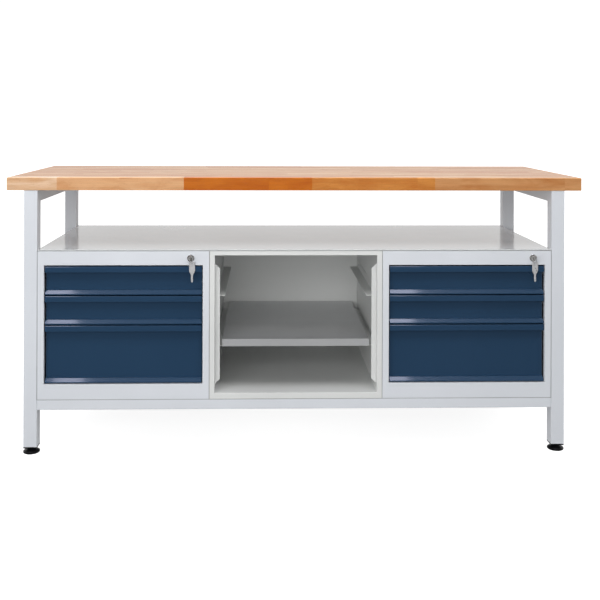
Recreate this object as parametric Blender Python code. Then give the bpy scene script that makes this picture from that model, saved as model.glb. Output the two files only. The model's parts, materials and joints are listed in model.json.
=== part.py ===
"""Workbench with two lockable drawer cabinets and an open shelf module.

Metres, +Z up, the front faces -Y. The origin is on the floor, in the middle of the whole box.
"""

import math

import bmesh
import bpy
from mathutils import Matrix, Vector

# Driving dimensions
GAP = 0.0003  # clearance between pieces that touch
HAIR = 0.0002  # keeps faces that meet in one piece out of one plane

WORKTOP = (1.750, 0.600, 0.039)
TOTAL_HEIGHT = 0.836
WORKTOP_OVERHANG = 0.002  # worktop in front of the legs
KEY_REACH = 0.030  # how far the keys stand out from the cabinet fronts

FRAME_WIDTH = 1.646
FRAME_DEPTH = 0.585
LEG = 0.040
TUBE_WALL = 0.002
LEG_BOTTOM = 0.021
TOP_CROSS_HEIGHT = 0.035
RAIL = 0.030
RAIL_BOTTOM = 0.133

TRAY_TOP = 0.6174
TRAY_HEIGHT = 0.0035
SHEET = 0.0015

MODULE_DEPTH = 0.580
CENTRE_WIDTH = 0.527
STILE = 0.020
OPENING_BOTTOM = 0.2105
OPENING_TOP = 0.5700
RETURN_DEPTH = 0.012

DRAWER_TOP_GAP = 0.004
DRAWER_GAP = 0.0035
DRAWER_SIDE_GAP = 0.003
SHALLOW_FRONT = 0.086
DEEP_FRONT = 0.1735
FRONT_DEPTH = 0.020
FRONT_RECESS = 0.0172
GRIP_HEIGHT = 0.018
LOWER_BAND = 0.013
BOX_LENGTH = 0.500
BOX_INSET = 0.0135  # drawer box side to the opening's edge
TONGUE = (0.012, 0.006)
TONGUE_START = 0.0345
CATCH_HEIGHT = 0.0080  # catch above the tongue that the lock bar's tooth holds
CATCH_DEPTH = 0.0040
BAR = (0.003, 0.012)
BAR_FROM_WALL = 0.0065
BAR_START = 0.0365
BAR_BOTTOM = 0.200
FORK_ARM = 0.005
TOOTH_REACH = 0.0165
TOOTH_HEIGHT = 0.005
TOOTH_CLEARANCE = 0.0009
CHANNEL_CLEARANCE = 0.001
CHANNEL_DEPTH = 0.031

LOCK_INSET = 0.0565  # lock axis to the cabinet's right side
LOCK_HEIGHT = 0.5914
LOCK_BODY_R = 0.0095
LOCK_HEAD_R = 0.0110
LOCK_HEAD = 0.0025
LOCK_LENGTH = 0.029
PLUG_R = 0.0060
CRANK = 0.008
CRANK_PIN_R = 0.0025
CRANK_PIN_END = 0.011
CAM_THICKNESS = 0.003
KEY_BOW_R = 0.011
KEY_THICKNESS = 0.0022
KEY_HOLE_R = 0.0042
KEY_NECK = (0.0070, 0.0055)  # height of the key's neck and the length of it that shows
KEY_HOLE_RIM = 0.0033
SPARE_BOW_R = 0.0092
SPARE_DROP = 0.0242  # the spare key's bow below the lock's axis
SPARE_LENGTH = 0.0730  # the spare key's tip below the lock's axis
SPARE_THICKNESS = 0.0020
SPARE_BLADE = 0.0052
SPARE_HOLE_R = 0.0024
SPARE_HOLE_RIM = 0.0024
WIRE_R = 0.0008

CENTRE_BORDER = 0.016
CENTRE_OPENING_BOTTOM = 0.1821
CENTRE_OPENING_TOP = 0.5997
CENTRE_FLANGE = 0.015
LIP_WIDTH = 0.015
LIP_SETBACK = 0.018
LIP_BOTTOM = 0.204
LIP_TOP = 0.5717
SHELF_WIDTH = 0.450
SHELF_TOP = 0.3406
SHELF_LIP = 0.022
SPARE_RUNNER_HEIGHT = 0.470
RUNNER_RISE = 0.024

FOOT_R = 0.025
FOOT_STEM_R = 0.005

# Worked out from them
FRONT = -(WORKTOP[1] + KEY_REACH - WORKTOP_OVERHANG) / 2 + KEY_REACH  # face of legs and cabinets
REAR = FRONT + FRAME_DEPTH
WORKTOP_FRONT = FRONT - WORKTOP_OVERHANG
WORKTOP_BOTTOM = TOTAL_HEIGHT - WORKTOP[2]
LEG_TOP = WORKTOP_BOTTOM - GAP
RAIL_TOP = RAIL_BOTTOM + RAIL
LEG_INNER = FRAME_WIDTH / 2 - LEG
MODULE_BOTTOM = RAIL_TOP + GAP
MODULE_TOP = TRAY_TOP - TRAY_HEIGHT - GAP
MODULE_REAR = FRONT + MODULE_DEPTH
CABINET_OUTER = LEG_INNER - GAP
CABINET_INNER = CENTRE_WIDTH / 2 + GAP / 2
CENTRE_HALF = CENTRE_WIDTH / 2 - GAP / 2

PAINT = (0.66, 0.68, 0.70, 1.0)
BLUE = (0.020, 0.052, 0.108, 1.0)


def material(name, colour, roughness, metallic=0.0):
    found = bpy.data.materials.get(name)
    if found:
        return found
    made = bpy.data.materials.new(name)
    made.use_nodes = True
    shader = made.node_tree.nodes["Principled BSDF"]
    shader.inputs["Base Color"].default_value = colour
    shader.inputs["Roughness"].default_value = roughness
    shader.inputs["Metallic"].default_value = metallic
    made.diffuse_color = colour
    return made


def grey_paint():
    return material("grey_paint", PAINT, 0.35)


def blue_paint():
    return material("blue_paint", BLUE, 0.3)


def zinc():
    return material("zinc", (0.45, 0.46, 0.47, 1.0), 0.4, 0.9)


def black_plastic():
    return material("black_plastic", (0.012, 0.012, 0.013, 1.0), 0.4)


def chrome():
    return material("chrome", (0.75, 0.75, 0.76, 1.0), 0.15, 1.0)


def beech():
    return material("beech", (0.56, 0.30, 0.12, 1.0), 0.45)


def shelf_paint():
    return material("shelf_paint", (0.34, 0.35, 0.35, 1.0), 0.4)


def scene_object(name, bm, finish):
    """Makes an object from a bmesh whose faces are turned outwards."""
    bmesh.ops.recalc_face_normals(bm, faces=bm.faces)
    mesh = bpy.data.meshes.new(name)
    bm.to_mesh(mesh)
    bm.free()
    obj = bpy.data.objects.new(name, mesh)
    bpy.context.scene.collection.objects.link(obj)
    if finish:
        obj.data.materials.append(finish)
    return obj


def add_box(bm, x, y, z):
    """Adds a closed box; x, y and z are (low, high)."""
    size = Vector((x[1] - x[0], y[1] - y[0], z[1] - z[0]))
    centre = Vector((x[0] + x[1], y[0] + y[1], z[0] + z[1])) / 2
    place = Matrix.Translation(centre) @ Matrix.Diagonal((*size, 1.0))
    bmesh.ops.create_cube(bm, size=1.0, matrix=place)


def boxes(name, finish, *spans):
    bm = bmesh.new()
    for span in spans:
        add_box(bm, *span)
    return scene_object(name, bm, finish)


def extrusion(name, outline, axis, low, high, finish=None):
    """Extrudes a closed outline along X, Y or Z. The outline's pairs are the other two axes in order."""

    def point(pair, along):
        u, v = pair
        return {"X": (along, u, v), "Y": (u, along, v), "Z": (u, v, along)}[axis]

    bm = bmesh.new()
    start = [bm.verts.new(point(pair, low)) for pair in outline]
    end = [bm.verts.new(point(pair, high)) for pair in outline]
    bm.faces.new(start)
    bm.faces.new(end)
    for i in range(len(outline)):
        j = (i + 1) % len(outline)
        bm.faces.new((start[i], start[j], end[j], end[i]))
    return scene_object(name, bm, finish)


def rect_loft(name, axis, loops, ring, finish):
    """Joins rectangles (along, (low, high), (low, high)); its ends are capped unless it is a ring."""
    bm = bmesh.new()
    rows = []
    for along, (a0, a1), (b0, b1) in loops:
        corners = ((a0, b0), (a1, b0), (a1, b1), (a0, b1))
        if axis == "Y":
            rows.append([bm.verts.new((a, along, b)) for a, b in corners])
        else:
            rows.append([bm.verts.new((a, b, along)) for a, b in corners])
    pairs = list(zip(rows, rows[1:]))
    if ring:
        pairs.append((rows[-1], rows[0]))
    else:
        bm.faces.new(rows[0])
        bm.faces.new(rows[-1])
    for one, two in pairs:
        for i in range(4):
            j = (i + 1) % 4
            bm.faces.new((one[i], one[j], two[j], two[i]))
    return scene_object(name, bm, finish)


def turned(name, profile, place, finish, sides=32, ring=False):
    """Turns (radius, height) pairs about the local Z axis; place carries that axis to its spot."""
    bm = bmesh.new()
    rows = []
    for radius, height in profile:
        if radius == 0:
            rows.append([bm.verts.new((0, 0, height))] * sides)
            continue
        angles = (2 * math.pi * i / sides for i in range(sides))
        rows.append([bm.verts.new((radius * math.cos(a), radius * math.sin(a), height)) for a in angles])
    pairs = list(zip(rows, rows[1:]))
    if ring:
        pairs.append((rows[-1], rows[0]))
    for one, two in pairs:
        for i in range(sides):
            j = (i + 1) % sides
            corners = list(dict.fromkeys((one[i], one[j], two[j], two[i])))
            if len(corners) > 2:
                bm.faces.new(corners)
    bmesh.ops.transform(bm, matrix=place, verts=bm.verts)
    obj = scene_object(name, bm, finish)
    obj.data.shade_smooth()
    obj.data.set_sharp_from_angle(angle=math.radians(35))
    return obj


def along_y(x, z, y=0.0):
    """Carries the local Z axis to +Y through (x, y, z)."""
    return Matrix.Translation((x, y, z)) @ Matrix.Rotation(-math.pi / 2, 4, "X")


def along_x(x, y, z):
    """Carries the local Z axis to +X through (x, y, z)."""
    return Matrix.Translation((x, y, z)) @ Matrix.Rotation(math.pi / 2, 4, "Y")


def disc(name, radius, low, high, place, finish=None, sides=16):
    """A plain turned disc or rod from low to high along the axis."""
    return turned(name, [(0, low), (radius, low), (radius, high), (0, high)], place, finish, sides)


def boolean(obj, operation, helper):
    """Joins or cuts with a hidden helper object."""
    helper.hide_render = True
    helper.display_type = "WIRE"
    modifier = obj.modifiers.new(helper.name, "BOOLEAN")
    modifier.operation = operation
    modifier.solver = "EXACT"
    modifier.object = helper


def soften(obj, width, segments=2):
    """Rounds the outer edges."""
    modifier = obj.modifiers.new("edges", "BEVEL")
    modifier.width = width
    modifier.segments = segments
    modifier.limit_method = "ANGLE"
    modifier.angle_limit = math.radians(40)


def make_worktop():
    half = WORKTOP[0] / 2
    span_y = (WORKTOP_FRONT, WORKTOP_FRONT + WORKTOP[1])
    worktop = boxes("worktop", beech(), ((-half, half), span_y, (WORKTOP_BOTTOM, TOTAL_HEIGHT)))
    soften(worktop, 0.0015)


def make_end_frame(name, outer_x):
    """Two legs joined by a tube under the worktop and one at the bottom rail's height, all hollow."""
    side = math.copysign(1.0, outer_x)

    def across(start, end):
        return tuple(sorted((outer_x - side * start, outer_x - side * end)))

    legs = {"front_leg": (FRONT, FRONT + LEG), "rear_leg": (REAR - LEG, REAR)}
    between = (FRONT + LEG / 2, REAR - LEG / 2)
    top_z = (LEG_TOP - TOP_CROSS_HEIGHT, LEG_TOP)
    low_z = (RAIL_BOTTOM, RAIL_TOP)
    frame = boxes(name, grey_paint(), (across(0, LEG), legs["front_leg"], (LEG_BOTTOM, LEG_TOP)))
    # The cross tubes sit a hair inside the legs' outer planes, as welded tubes do.
    tubes = (
        ("rear_leg", (0, LEG), legs["rear_leg"], (LEG_BOTTOM, LEG_TOP)),
        ("top_cross", (HAIR, LEG - HAIR), between, (top_z[0], top_z[1] - HAIR)),
        ("low_cross", (HAIR, RAIL), between, low_z),
    )
    for label, width, y, z in tubes:
        boolean(frame, "UNION", boxes(f"{name}_{label}", None, (across(*width), y, z)))
    wall, inset = TUBE_WALL, TUBE_WALL + GAP
    bores = [
        (label, (wall, LEG - wall), (start + wall, end - wall), (LEG_BOTTOM - LEG, LEG_TOP - wall))
        for label, (start, end) in legs.items()
    ]
    bores += [
        ("top_cross", (inset, LEG - inset), between, (top_z[0] + wall, top_z[1] - inset)),
        ("low_cross", (inset, RAIL - wall), between, (low_z[0] + wall, low_z[1] - wall)),
    ]
    for label, width, y, z in bores:
        boolean(frame, "DIFFERENCE", boxes(f"{name}_{label}_bore", None, (across(*width), y, z)))
    return frame


def make_rail(name, low_y):
    """A square tube, open at both ends."""
    half = LEG_INNER - GAP
    wall = TUBE_WALL
    y = (low_y, low_y + RAIL)
    z = (RAIL_BOTTOM, RAIL_TOP)
    outer = [(-half, y, z), (half, y, z)]
    inner_y = (y[0] + wall, y[1] - wall)
    inner_z = (z[0] + wall, z[1] - wall)
    inner = [(half, inner_y, inner_z), (-half, inner_y, inner_z)]
    bm = bmesh.new()
    rows = []
    for along, (a0, a1), (b0, b1) in outer + inner:
        corners = ((a0, b0), (a1, b0), (a1, b1), (a0, b1))
        rows.append([bm.verts.new((along, a, b)) for a, b in corners])
    for one, two in zip(rows, rows[1:] + rows[:1]):
        for i in range(4):
            j = (i + 1) % 4
            bm.faces.new((one[i], one[j], two[j], two[i]))
    scene_object(name, bm, grey_paint())


def leg_centres():
    x = FRAME_WIDTH / 2 - LEG / 2
    y_front, y_rear = FRONT + LEG / 2, REAR - LEG / 2
    return {
        "front_left": (-x, y_front),
        "front_right": (x, y_front),
        "rear_left": (-x, y_rear),
        "rear_right": (x, y_rear),
    }


def make_leg_plug(where, x, y):
    """A plug with a flange under the tube's end and a block inside it, drilled for the foot's stem."""
    flange = LEG / 2
    block = LEG / 2 - TUBE_WALL - GAP
    flange_low = LEG_BOTTOM - GAP - 0.004
    loops = [
        (flange_low, (x - flange, x + flange), (y - flange, y + flange)),
        (LEG_BOTTOM - GAP, (x - flange, x + flange), (y - flange, y + flange)),
        (LEG_BOTTOM - GAP, (x - block, x + block), (y - block, y + block)),
        (LEG_BOTTOM + 0.012, (x - block, x + block), (y - block, y + block)),
    ]
    plug = rect_loft("leg_plug_" + where, "Z", loops, False, black_plastic())
    place = Matrix.Translation((x, y, 0))
    drill_r = FOOT_STEM_R + GAP
    profile = [(0, 0), (drill_r, 0), (drill_r, 0.05), (0, 0.05)]
    boolean(plug, "DIFFERENCE", turned("leg_plug_drill_" + where, profile, place, None, 24))


def make_levelling_foot(where, x, y):
    """A round foot on a threaded stem, screwed up into the leg plug."""
    profile = [
        (0, 0),
        (FOOT_R - 0.0015, 0),
        (FOOT_R, 0.0015),
        (FOOT_R, 0.0045),
        (FOOT_R - 0.004, 0.0075),
        (0.0105, 0.0115),
        (0.0085, 0.0120),
        (0.0085, 0.0160),
        (FOOT_STEM_R, 0.0162),
        (FOOT_STEM_R, 0.058),
        (0.004, 0.059),
        (0, 0.059),
    ]
    turned("levelling_foot_" + where, profile, Matrix.Translation((x, y, 0)), black_plastic(), 32)


def make_tray():
    """The sheet over the three modules, its edges folded down."""
    x, y = (-LEG_INNER + GAP, LEG_INNER - GAP), (FRONT, REAR - 0.001)
    inner_x, inner_y = (x[0] + SHEET, x[1] - SHEET), (y[0] + SHEET, y[1] - SHEET)
    low, under = TRAY_TOP - TRAY_HEIGHT, TRAY_TOP - SHEET
    loops = [(TRAY_TOP, x, y), (low, x, y), (low, inner_x, inner_y), (under, inner_x, inner_y)]
    rect_loft("top_tray", "Z", loops, False, grey_paint())


def cabinet_spans():
    """(name, left x, right x) of the two drawer cabinets."""
    return (("left", -CABINET_OUTER, -CABINET_INNER), ("right", CABINET_INNER, CABINET_OUTER))


def lock_x(right):
    return right - LOCK_INSET


def make_cabinet_body(name, left, right):
    """A folded steel box, open at the back, with a frame of returned edges round the drawers."""
    x, z = (left, right), (MODULE_BOTTOM, MODULE_TOP)
    wall_x, wall_z = (left + SHEET, right - SHEET), (z[0] + SHEET, z[1] - SHEET)
    open_x, open_z = (left + STILE, right - STILE), (OPENING_BOTTOM, OPENING_TOP)
    back_x = (open_x[0] - SHEET, open_x[1] + SHEET)
    back_z = (open_z[0] - SHEET, open_z[1] + SHEET)
    loops = [
        (FRONT, x, z),
        (MODULE_REAR, x, z),
        (MODULE_REAR, wall_x, wall_z),
        (FRONT + SHEET, wall_x, wall_z),
        (FRONT + SHEET, back_x, back_z),
        (FRONT + RETURN_DEPTH, back_x, back_z),
        (FRONT + RETURN_DEPTH, open_x, open_z),
        (FRONT, open_x, open_z),
    ]
    body = rect_loft(name + "_cabinet_body", "Y", loops, True, grey_paint())
    place = along_y(lock_x(right), LOCK_HEIGHT, FRONT)
    hole_r = LOCK_BODY_R + GAP
    drill = disc(name + "_lock_drill", hole_r, -0.01, 0.01, place, sides=32)
    boolean(body, "DIFFERENCE", drill)


def make_pan_back(name, x, z):
    """A back panel folded forwards at its edges."""
    flange = 0.010
    rear = MODULE_REAR - 0.001
    inner_x, inner_z = (x[0] + SHEET, x[1] - SHEET), (z[0] + SHEET, z[1] - SHEET)
    loops = [
        (rear, x, z),
        (rear - flange, x, z),
        (rear - flange, inner_x, inner_z),
        (rear - SHEET, inner_x, inner_z),
    ]
    rect_loft(name, "Y", loops, False, grey_paint())


def drawer_levels():
    """(label, front's bottom, front's top) from the top drawer down."""
    levels = []
    top = OPENING_TOP - DRAWER_TOP_GAP
    for label, height in (("top", SHALLOW_FRONT), ("middle", SHALLOW_FRONT), ("bottom", DEEP_FRONT)):
        levels.append((label, top - height, top))
        top -= height + DRAWER_GAP
    return levels


def tongue_height(top):
    return top - 0.046


def make_drawer_front(name, x, low, top):
    """A pressed front: grip band with a finger groove behind it, recessed face, lower band sloping out."""
    face, recess, rear = FRONT, FRONT + FRONT_RECESS, FRONT + FRONT_DEPTH
    t = SHEET
    grip = top - GRIP_HEIGHT
    slope_top, slope_low = low + LOWER_BAND, low + 0.0035
    slope = slope_top - slope_low  # the lower band leans at 45 degrees
    outline = [
        (rear, top),
        (face + 0.0015, top),
        (face, top - 0.0015),
        (face, grip + 0.001),
        (face + 0.0005, grip),
        (face + t, grip),
        (face + t, top - t),
        (recess, top - t),
        (recess, slope_top),
        (face + slope, slope_top),
        (face, slope_low),
        (face, low + 0.001),
        (face + 0.001, low),
        (rear, low),
        (rear, low + t),
        (face + t, low + t),
        (face + t, slope_low - 0.0007),
        (face + slope + 0.0007, slope_top - t),
        (recess + t, slope_top - t),
        (recess + t, top - t),
        (rear, top - t),
    ]
    front = extrusion(name + "_front", outline, "X", x[0] + 0.0005, x[1] - 0.0005, blue_paint())
    hair = HAIR
    silhouette = [
        (rear - hair, top - hair),
        (face + 0.002, top - hair),
        (face + hair, top - 0.002),
        (face + hair, grip + hair),
        (recess + hair, grip + hair),
        (recess + hair, slope_top - hair),
        (face + slope, slope_top - hair),
        (face + hair, slope_low + hair),
        (face + hair, low + 0.0015),
        (face + 0.0015, low + hair),
        (rear - hair, low + hair),
    ]
    for side, start in (("left", x[0]), ("right", x[1] - t)):
        end_plate = extrusion(f"{name}_front_{side}_end", silhouette, "X", start, start + t)
        boolean(front, "UNION", end_plate)


def make_drawer_box(name, x, low, top):
    """An open steel box with a tongue along each side that slides in the cabinet's channels."""
    y = (FRONT + FRONT_DEPTH + GAP, FRONT + FRONT_DEPTH + GAP + BOX_LENGTH)
    box_low, box_top = low + 0.006, top - 0.012
    inner_x, inner_y = (x[0] + SHEET, x[1] - SHEET), (y[0] + SHEET, y[1] - SHEET)
    loops = [
        (box_low, x, y),
        (box_top, x, y),
        (box_top, inner_x, inner_y),
        (box_low + SHEET, inner_x, inner_y),
    ]
    box = rect_loft(name + "_box", "Z", loops, False, zinc())
    tongue_y = (y[0] + TONGUE_START, y[1] - 0.002)
    tongue_z = (tongue_height(top), tongue_height(top) + TONGUE[1])
    bite = SHEET / 2
    spans = {"left": (x[0] - TONGUE[0], x[0] + bite), "right": (x[1] - bite, x[1] + TONGUE[0])}
    for side, tongue_x in spans.items():
        boolean(box, "UNION", boxes(f"{name}_box_{side}_tongue", None, (tongue_x, tongue_y, tongue_z)))
    catch_x = (x[1] - bite, x[1] + TONGUE[0] - 0.0002)
    catch_y = (tongue_y[0] - CATCH_DEPTH, tongue_y[0] + 0.0005)
    catch_z = (tongue_z[0] + 0.0002, tongue_z[1] + CATCH_HEIGHT)
    boolean(box, "UNION", boxes(name + "_box_catch", None, (catch_x, catch_y, catch_z)))


def make_slide_channels(name, left, right, top):
    """The pair of fixed channels that carry one drawer's tongues."""
    y = (FRONT + FRONT_DEPTH + TONGUE_START + 0.002, MODULE_REAR - 0.030)
    tongue_z = tongue_height(top)
    inside = (tongue_z - CHANNEL_CLEARANCE / 2, tongue_z + TONGUE[1] + CHANNEL_CLEARANCE)
    low, high = inside[0] - SHEET, inside[1] + SHEET
    for side, wall, inward in (("left", left + SHEET + GAP, 1), ("right", right - SHEET - GAP, -1)):
        tip, web = wall + inward * CHANNEL_DEPTH, wall + inward * SHEET
        outline = [
            (wall, low),
            (tip, low),
            (tip, inside[0]),
            (web, inside[0]),
            (web, inside[1]),
            (tip, inside[1]),
            (tip, high),
            (wall, high),
        ]
        extrusion(f"{name}_{side}_channel", outline, "Y", *y, zinc())


def make_drawers(cabinet, left, right):
    open_x = (left + STILE, right - STILE)
    for label, low, top in drawer_levels():
        name = f"{cabinet}_{label}_drawer"
        front_x = (open_x[0] + DRAWER_SIDE_GAP, open_x[1] - DRAWER_SIDE_GAP)
        make_drawer_front(name, front_x, low, top)
        make_drawer_box(name, (open_x[0] + BOX_INSET, open_x[1] - BOX_INSET), low, top)
        make_slide_channels(name, left, right, top)


def make_lock(cabinet, right):
    """Lock case, plug with its key, crank cam behind it, and a spare key on a wire loop."""
    x, z = lock_x(right), LOCK_HEIGHT
    bore, face, rounding = PLUG_R + GAP, -LOCK_HEAD, 0.0006
    case = [
        (LOCK_HEAD_R - rounding, face),
        (LOCK_HEAD_R, face + rounding),
        (LOCK_HEAD_R, -GAP),
        (LOCK_BODY_R, -GAP),
        (LOCK_BODY_R, LOCK_LENGTH - 0.002),
        (bore, LOCK_LENGTH - 0.002),
        (bore, face),
    ]
    turned(cabinet + "_lock_case", case, along_y(x, z, FRONT), chrome(), 32, ring=True)
    plug_profile = [
        (0, face + GAP),
        (PLUG_R - rounding, face + GAP),
        (PLUG_R, face + 2 * rounding),
        (PLUG_R, LOCK_LENGTH),
        (0, LOCK_LENGTH),
    ]
    plug = turned(cabinet + "_lock_plug_and_key", plug_profile, along_y(x, z, FRONT), chrome(), 24)
    neck, half = KEY_NECK[0] / 2, KEY_THICKNESS / 2
    bow_y = FRONT - KEY_REACH + KEY_BOW_R
    shank_y = (bow_y + KEY_BOW_R - 0.003, FRONT + 0.001)
    shank = boxes(cabinet + "_key_shank", None, ((x - half, x + half), shank_y, (z - neck, z + neck)))
    bow = disc(cabinet + "_key_bow", KEY_BOW_R, HAIR - half, half - HAIR, along_x(x, bow_y, z), sides=28)
    hole_y = FRONT - KEY_REACH + KEY_HOLE_R + KEY_HOLE_RIM
    hole = disc(cabinet + "_key_hole", KEY_HOLE_R, -2 * half, 2 * half, along_x(x, hole_y, z), sides=20)
    boolean(plug, "UNION", shank)
    boolean(plug, "UNION", bow)
    boolean(plug, "DIFFERENCE", hole)

    start, place = LOCK_LENGTH + GAP, along_y(x, z, FRONT)
    cam = disc(cabinet + "_lock_cam", CRANK + 0.004, start, start + CAM_THICKNESS, place, zinc(), 24)
    pin_y = (start + CAM_THICKNESS / 2, start + CRANK_PIN_END)
    pin = disc(cabinet + "_lock_cam_pin", CRANK_PIN_R, *pin_y, along_y(x, z + CRANK, FRONT))
    boolean(cam, "UNION", pin)
    make_spare_key(cabinet, x, z)


def wire_loop(name, x, y, z, top, bottom, lean):
    """A closed wire that lies across the key's neck and turns to run fore and aft at its bottom."""
    bm = bmesh.new()
    points, corners = 28, 8
    half_height, half_width, half_depth = (top - bottom) / 2, 0.0080, 0.0024

    def route(angle):
        down = (1 - math.cos(angle)) / 2  # 0 at the top, 1 at the bottom
        return Vector((
            x + lean * down**2 + half_width * math.sin(angle) * (1 - 0.75 * down),
            y + half_depth * math.sin(angle) * down,
            z + (top + bottom) / 2 + half_height * math.cos(angle),
        ))

    rows, step = [], 0.01
    for i in range(points):
        angle = 2 * math.pi * i / points
        along = (route(angle + step) - route(angle - step)).normalized()
        side = along.cross(Vector((0, 1, 0.3))).normalized()
        other = along.cross(side)
        row = []
        for j in range(corners):
            turn = 2 * math.pi * j / corners
            row.append(bm.verts.new(route(angle) + WIRE_R * (math.cos(turn) * side + math.sin(turn) * other)))
        rows.append(row)
    for one, two in zip(rows, rows[1:] + rows[:1]):
        for i in range(corners):
            j = (i + 1) % corners
            bm.faces.new((one[i], one[j], two[j], two[i]))
    bmesh.ops.recalc_face_normals(bm, faces=bm.faces)
    loop = scene_object(name, bm, chrome())
    loop.data.shade_smooth()
    return loop


def make_spare_key(cabinet, x, z):
    """The second key, on a wire loop that hangs round the neck of the key in the lock."""
    y = FRONT - KEY_REACH + 2 * KEY_BOW_R + KEY_NECK[1] / 2 - GAP
    neck_corner = math.hypot(KEY_NECK[0] / 2, KEY_THICKNESS / 2)
    half, lean = SPARE_THICKNESS / 2, 0.0045  # the key hangs a little to the right of the lock
    bow_x, bow_z = x + lean, z - SPARE_DROP
    hole_z = bow_z + SPARE_BOW_R - SPARE_HOLE_R - SPARE_HOLE_RIM
    loop_top = neck_corner + GAP + WIRE_R
    loop_bottom = hole_z + SPARE_HOLE_R - WIRE_R + HAIR - z
    loop = wire_loop(cabinet + "_spare_key_and_ring", x, y, z, loop_top, loop_bottom, lean)
    bow_place = along_y(bow_x, bow_z, y)
    key = disc(cabinet + "_spare_bow", SPARE_BOW_R, -half, half, bow_place, sides=28)
    cheek, cheek_z = 0.0062, bow_z - SPARE_BOW_R + 0.003
    shoulder, shoulder_z = 0.0040, bow_z - SPARE_BOW_R - 0.006
    blade, end = SPARE_BLADE / 2, z - SPARE_LENGTH
    right_side = [
        (cheek, cheek_z),
        (shoulder, shoulder_z),
        (blade, shoulder_z - 0.001),
        (blade, end + 0.003),
    ]
    outline = [(bow_x - across, height) for across, height in right_side]
    outline.append((bow_x, end))
    outline += [(bow_x + across, height) for across, height in reversed(right_side)]
    boolean(key, "UNION", extrusion(cabinet + "_spare_blade", outline, "Y", y - half + HAIR, y + half - HAIR))
    hole = disc(cabinet + "_spare_hole", SPARE_HOLE_R, -2 * half, 2 * half, along_y(bow_x, hole_z, y))
    boolean(key, "DIFFERENCE", hole)
    boolean(loop, "UNION", key)


def make_lock_bar(cabinet, right):
    """A flat bar that the cam moves; lowered, its teeth stand in front of the drawers' catches."""
    wall = right - SHEET
    strip_x = (wall - BAR_FROM_WALL - BAR[0], wall - BAR_FROM_WALL)
    y = (FRONT + BAR_START, FRONT + BAR_START + BAR[1])
    inner_x, inner_y = strip_x[1] - HAIR, (y[0] + HAIR, y[1] - HAIR)
    pin_z = LOCK_HEIGHT + CRANK
    fork_low, fork_high = pin_z - CRANK_PIN_R - GAP - FORK_ARM, pin_z + CRANK_PIN_R + GAP + FORK_ARM + 0.0017
    bar = boxes(cabinet + "_lock_bar", zinc(), (strip_x, y, (BAR_BOTTOM, fork_high - HAIR)))
    slot = (pin_z - CRANK_PIN_R - GAP, pin_z + CRANK_PIN_R + 0.0022)
    open_end, closed_end = lock_x(right) - 0.006, lock_x(right) + CRANK + CRANK_PIN_R + 0.002
    fork = [
        (open_end, fork_low),
        (inner_x, fork_low),
        (inner_x, fork_high),
        (open_end, fork_high),
        (open_end, slot[1]),
        (closed_end, slot[1]),
        (closed_end, slot[0]),
        (open_end, slot[0]),
    ]
    boolean(bar, "UNION", extrusion(cabinet + "_lock_fork", fork, "Y", inner_y[0], y[0] + 0.003))
    for label, _, top in drawer_levels():
        low = tongue_height(top) + TONGUE[1] + CATCH_HEIGHT + TOOTH_CLEARANCE
        tooth = ((strip_x[0] - TOOTH_REACH, inner_x), inner_y, (low, low + TOOTH_HEIGHT))
        boolean(bar, "UNION", boxes(f"{cabinet}_{label}_tooth", None, tooth))


def make_centre_body():
    """A folded box with flanges turned outwards at both ends, and a lip on each side behind the front."""
    outer_x, outer_z = (-CENTRE_HALF, CENTRE_HALF), (MODULE_BOTTOM, MODULE_TOP)
    open_half = CENTRE_HALF - CENTRE_BORDER
    open_x, open_z = (-open_half, open_half), (CENTRE_OPENING_BOTTOM, CENTRE_OPENING_TOP)
    t = SHEET
    skin_x, skin_z = (open_x[0] - t, open_x[1] + t), (open_z[0] - t, open_z[1] + t)
    fold_x, fold_z = (outer_x[0] + t, outer_x[1] - t), (outer_z[0] + t, outer_z[1] - t)
    loops = [
        (FRONT, open_x, open_z),
        (FRONT, outer_x, outer_z),
        (FRONT + CENTRE_FLANGE, outer_x, outer_z),
        (FRONT + CENTRE_FLANGE, fold_x, fold_z),
        (FRONT + t, fold_x, fold_z),
        (FRONT + t, skin_x, skin_z),
        (MODULE_REAR - t, skin_x, skin_z),
        (MODULE_REAR - t, fold_x, fold_z),
        (MODULE_REAR - CENTRE_FLANGE, fold_x, fold_z),
        (MODULE_REAR - CENTRE_FLANGE, outer_x, outer_z),
        (MODULE_REAR, outer_x, outer_z),
        (MODULE_REAR, open_x, open_z),
    ]
    body = rect_loft("centre_body", "Y", loops, True, grey_paint())
    for side, sign in (("left", -1), ("right", 1)):
        wall, edge = sign * (open_half + t / 2), sign * (open_half - LIP_WIDTH)
        outline = [
            (wall, LIP_BOTTOM - t / 2),
            (edge, LIP_BOTTOM + LIP_WIDTH),
            (edge, LIP_TOP - LIP_WIDTH),
            (wall, LIP_TOP + t / 2),
        ]
        y = FRONT + LIP_SETBACK
        boolean(body, "UNION", extrusion(side + "_lip", outline, "Y", y, y + t))
    inset_x, inset_z = (open_x[0] + GAP, open_x[1] - GAP), (open_z[0] + GAP, open_z[1] - GAP)
    make_pan_back("centre_back_panel", inset_x, inset_z)


def make_shelf():
    """A shelf with its edges folded down."""
    half = SHELF_WIDTH / 2
    x, y = (-half, half), (FRONT + LIP_SETBACK + 0.0005, MODULE_REAR - 0.020)
    inner_x, inner_y = (x[0] + SHEET, x[1] - SHEET), (y[0] + SHEET, y[1] - SHEET)
    low = SHELF_TOP - SHELF_LIP
    loops = [(SHELF_TOP, x, y), (low, x, y), (low, inner_x, inner_y), (SHELF_TOP - SHEET, inner_x, inner_y)]
    rect_loft("centre_shelf", "Z", loops, False, shelf_paint())


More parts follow.
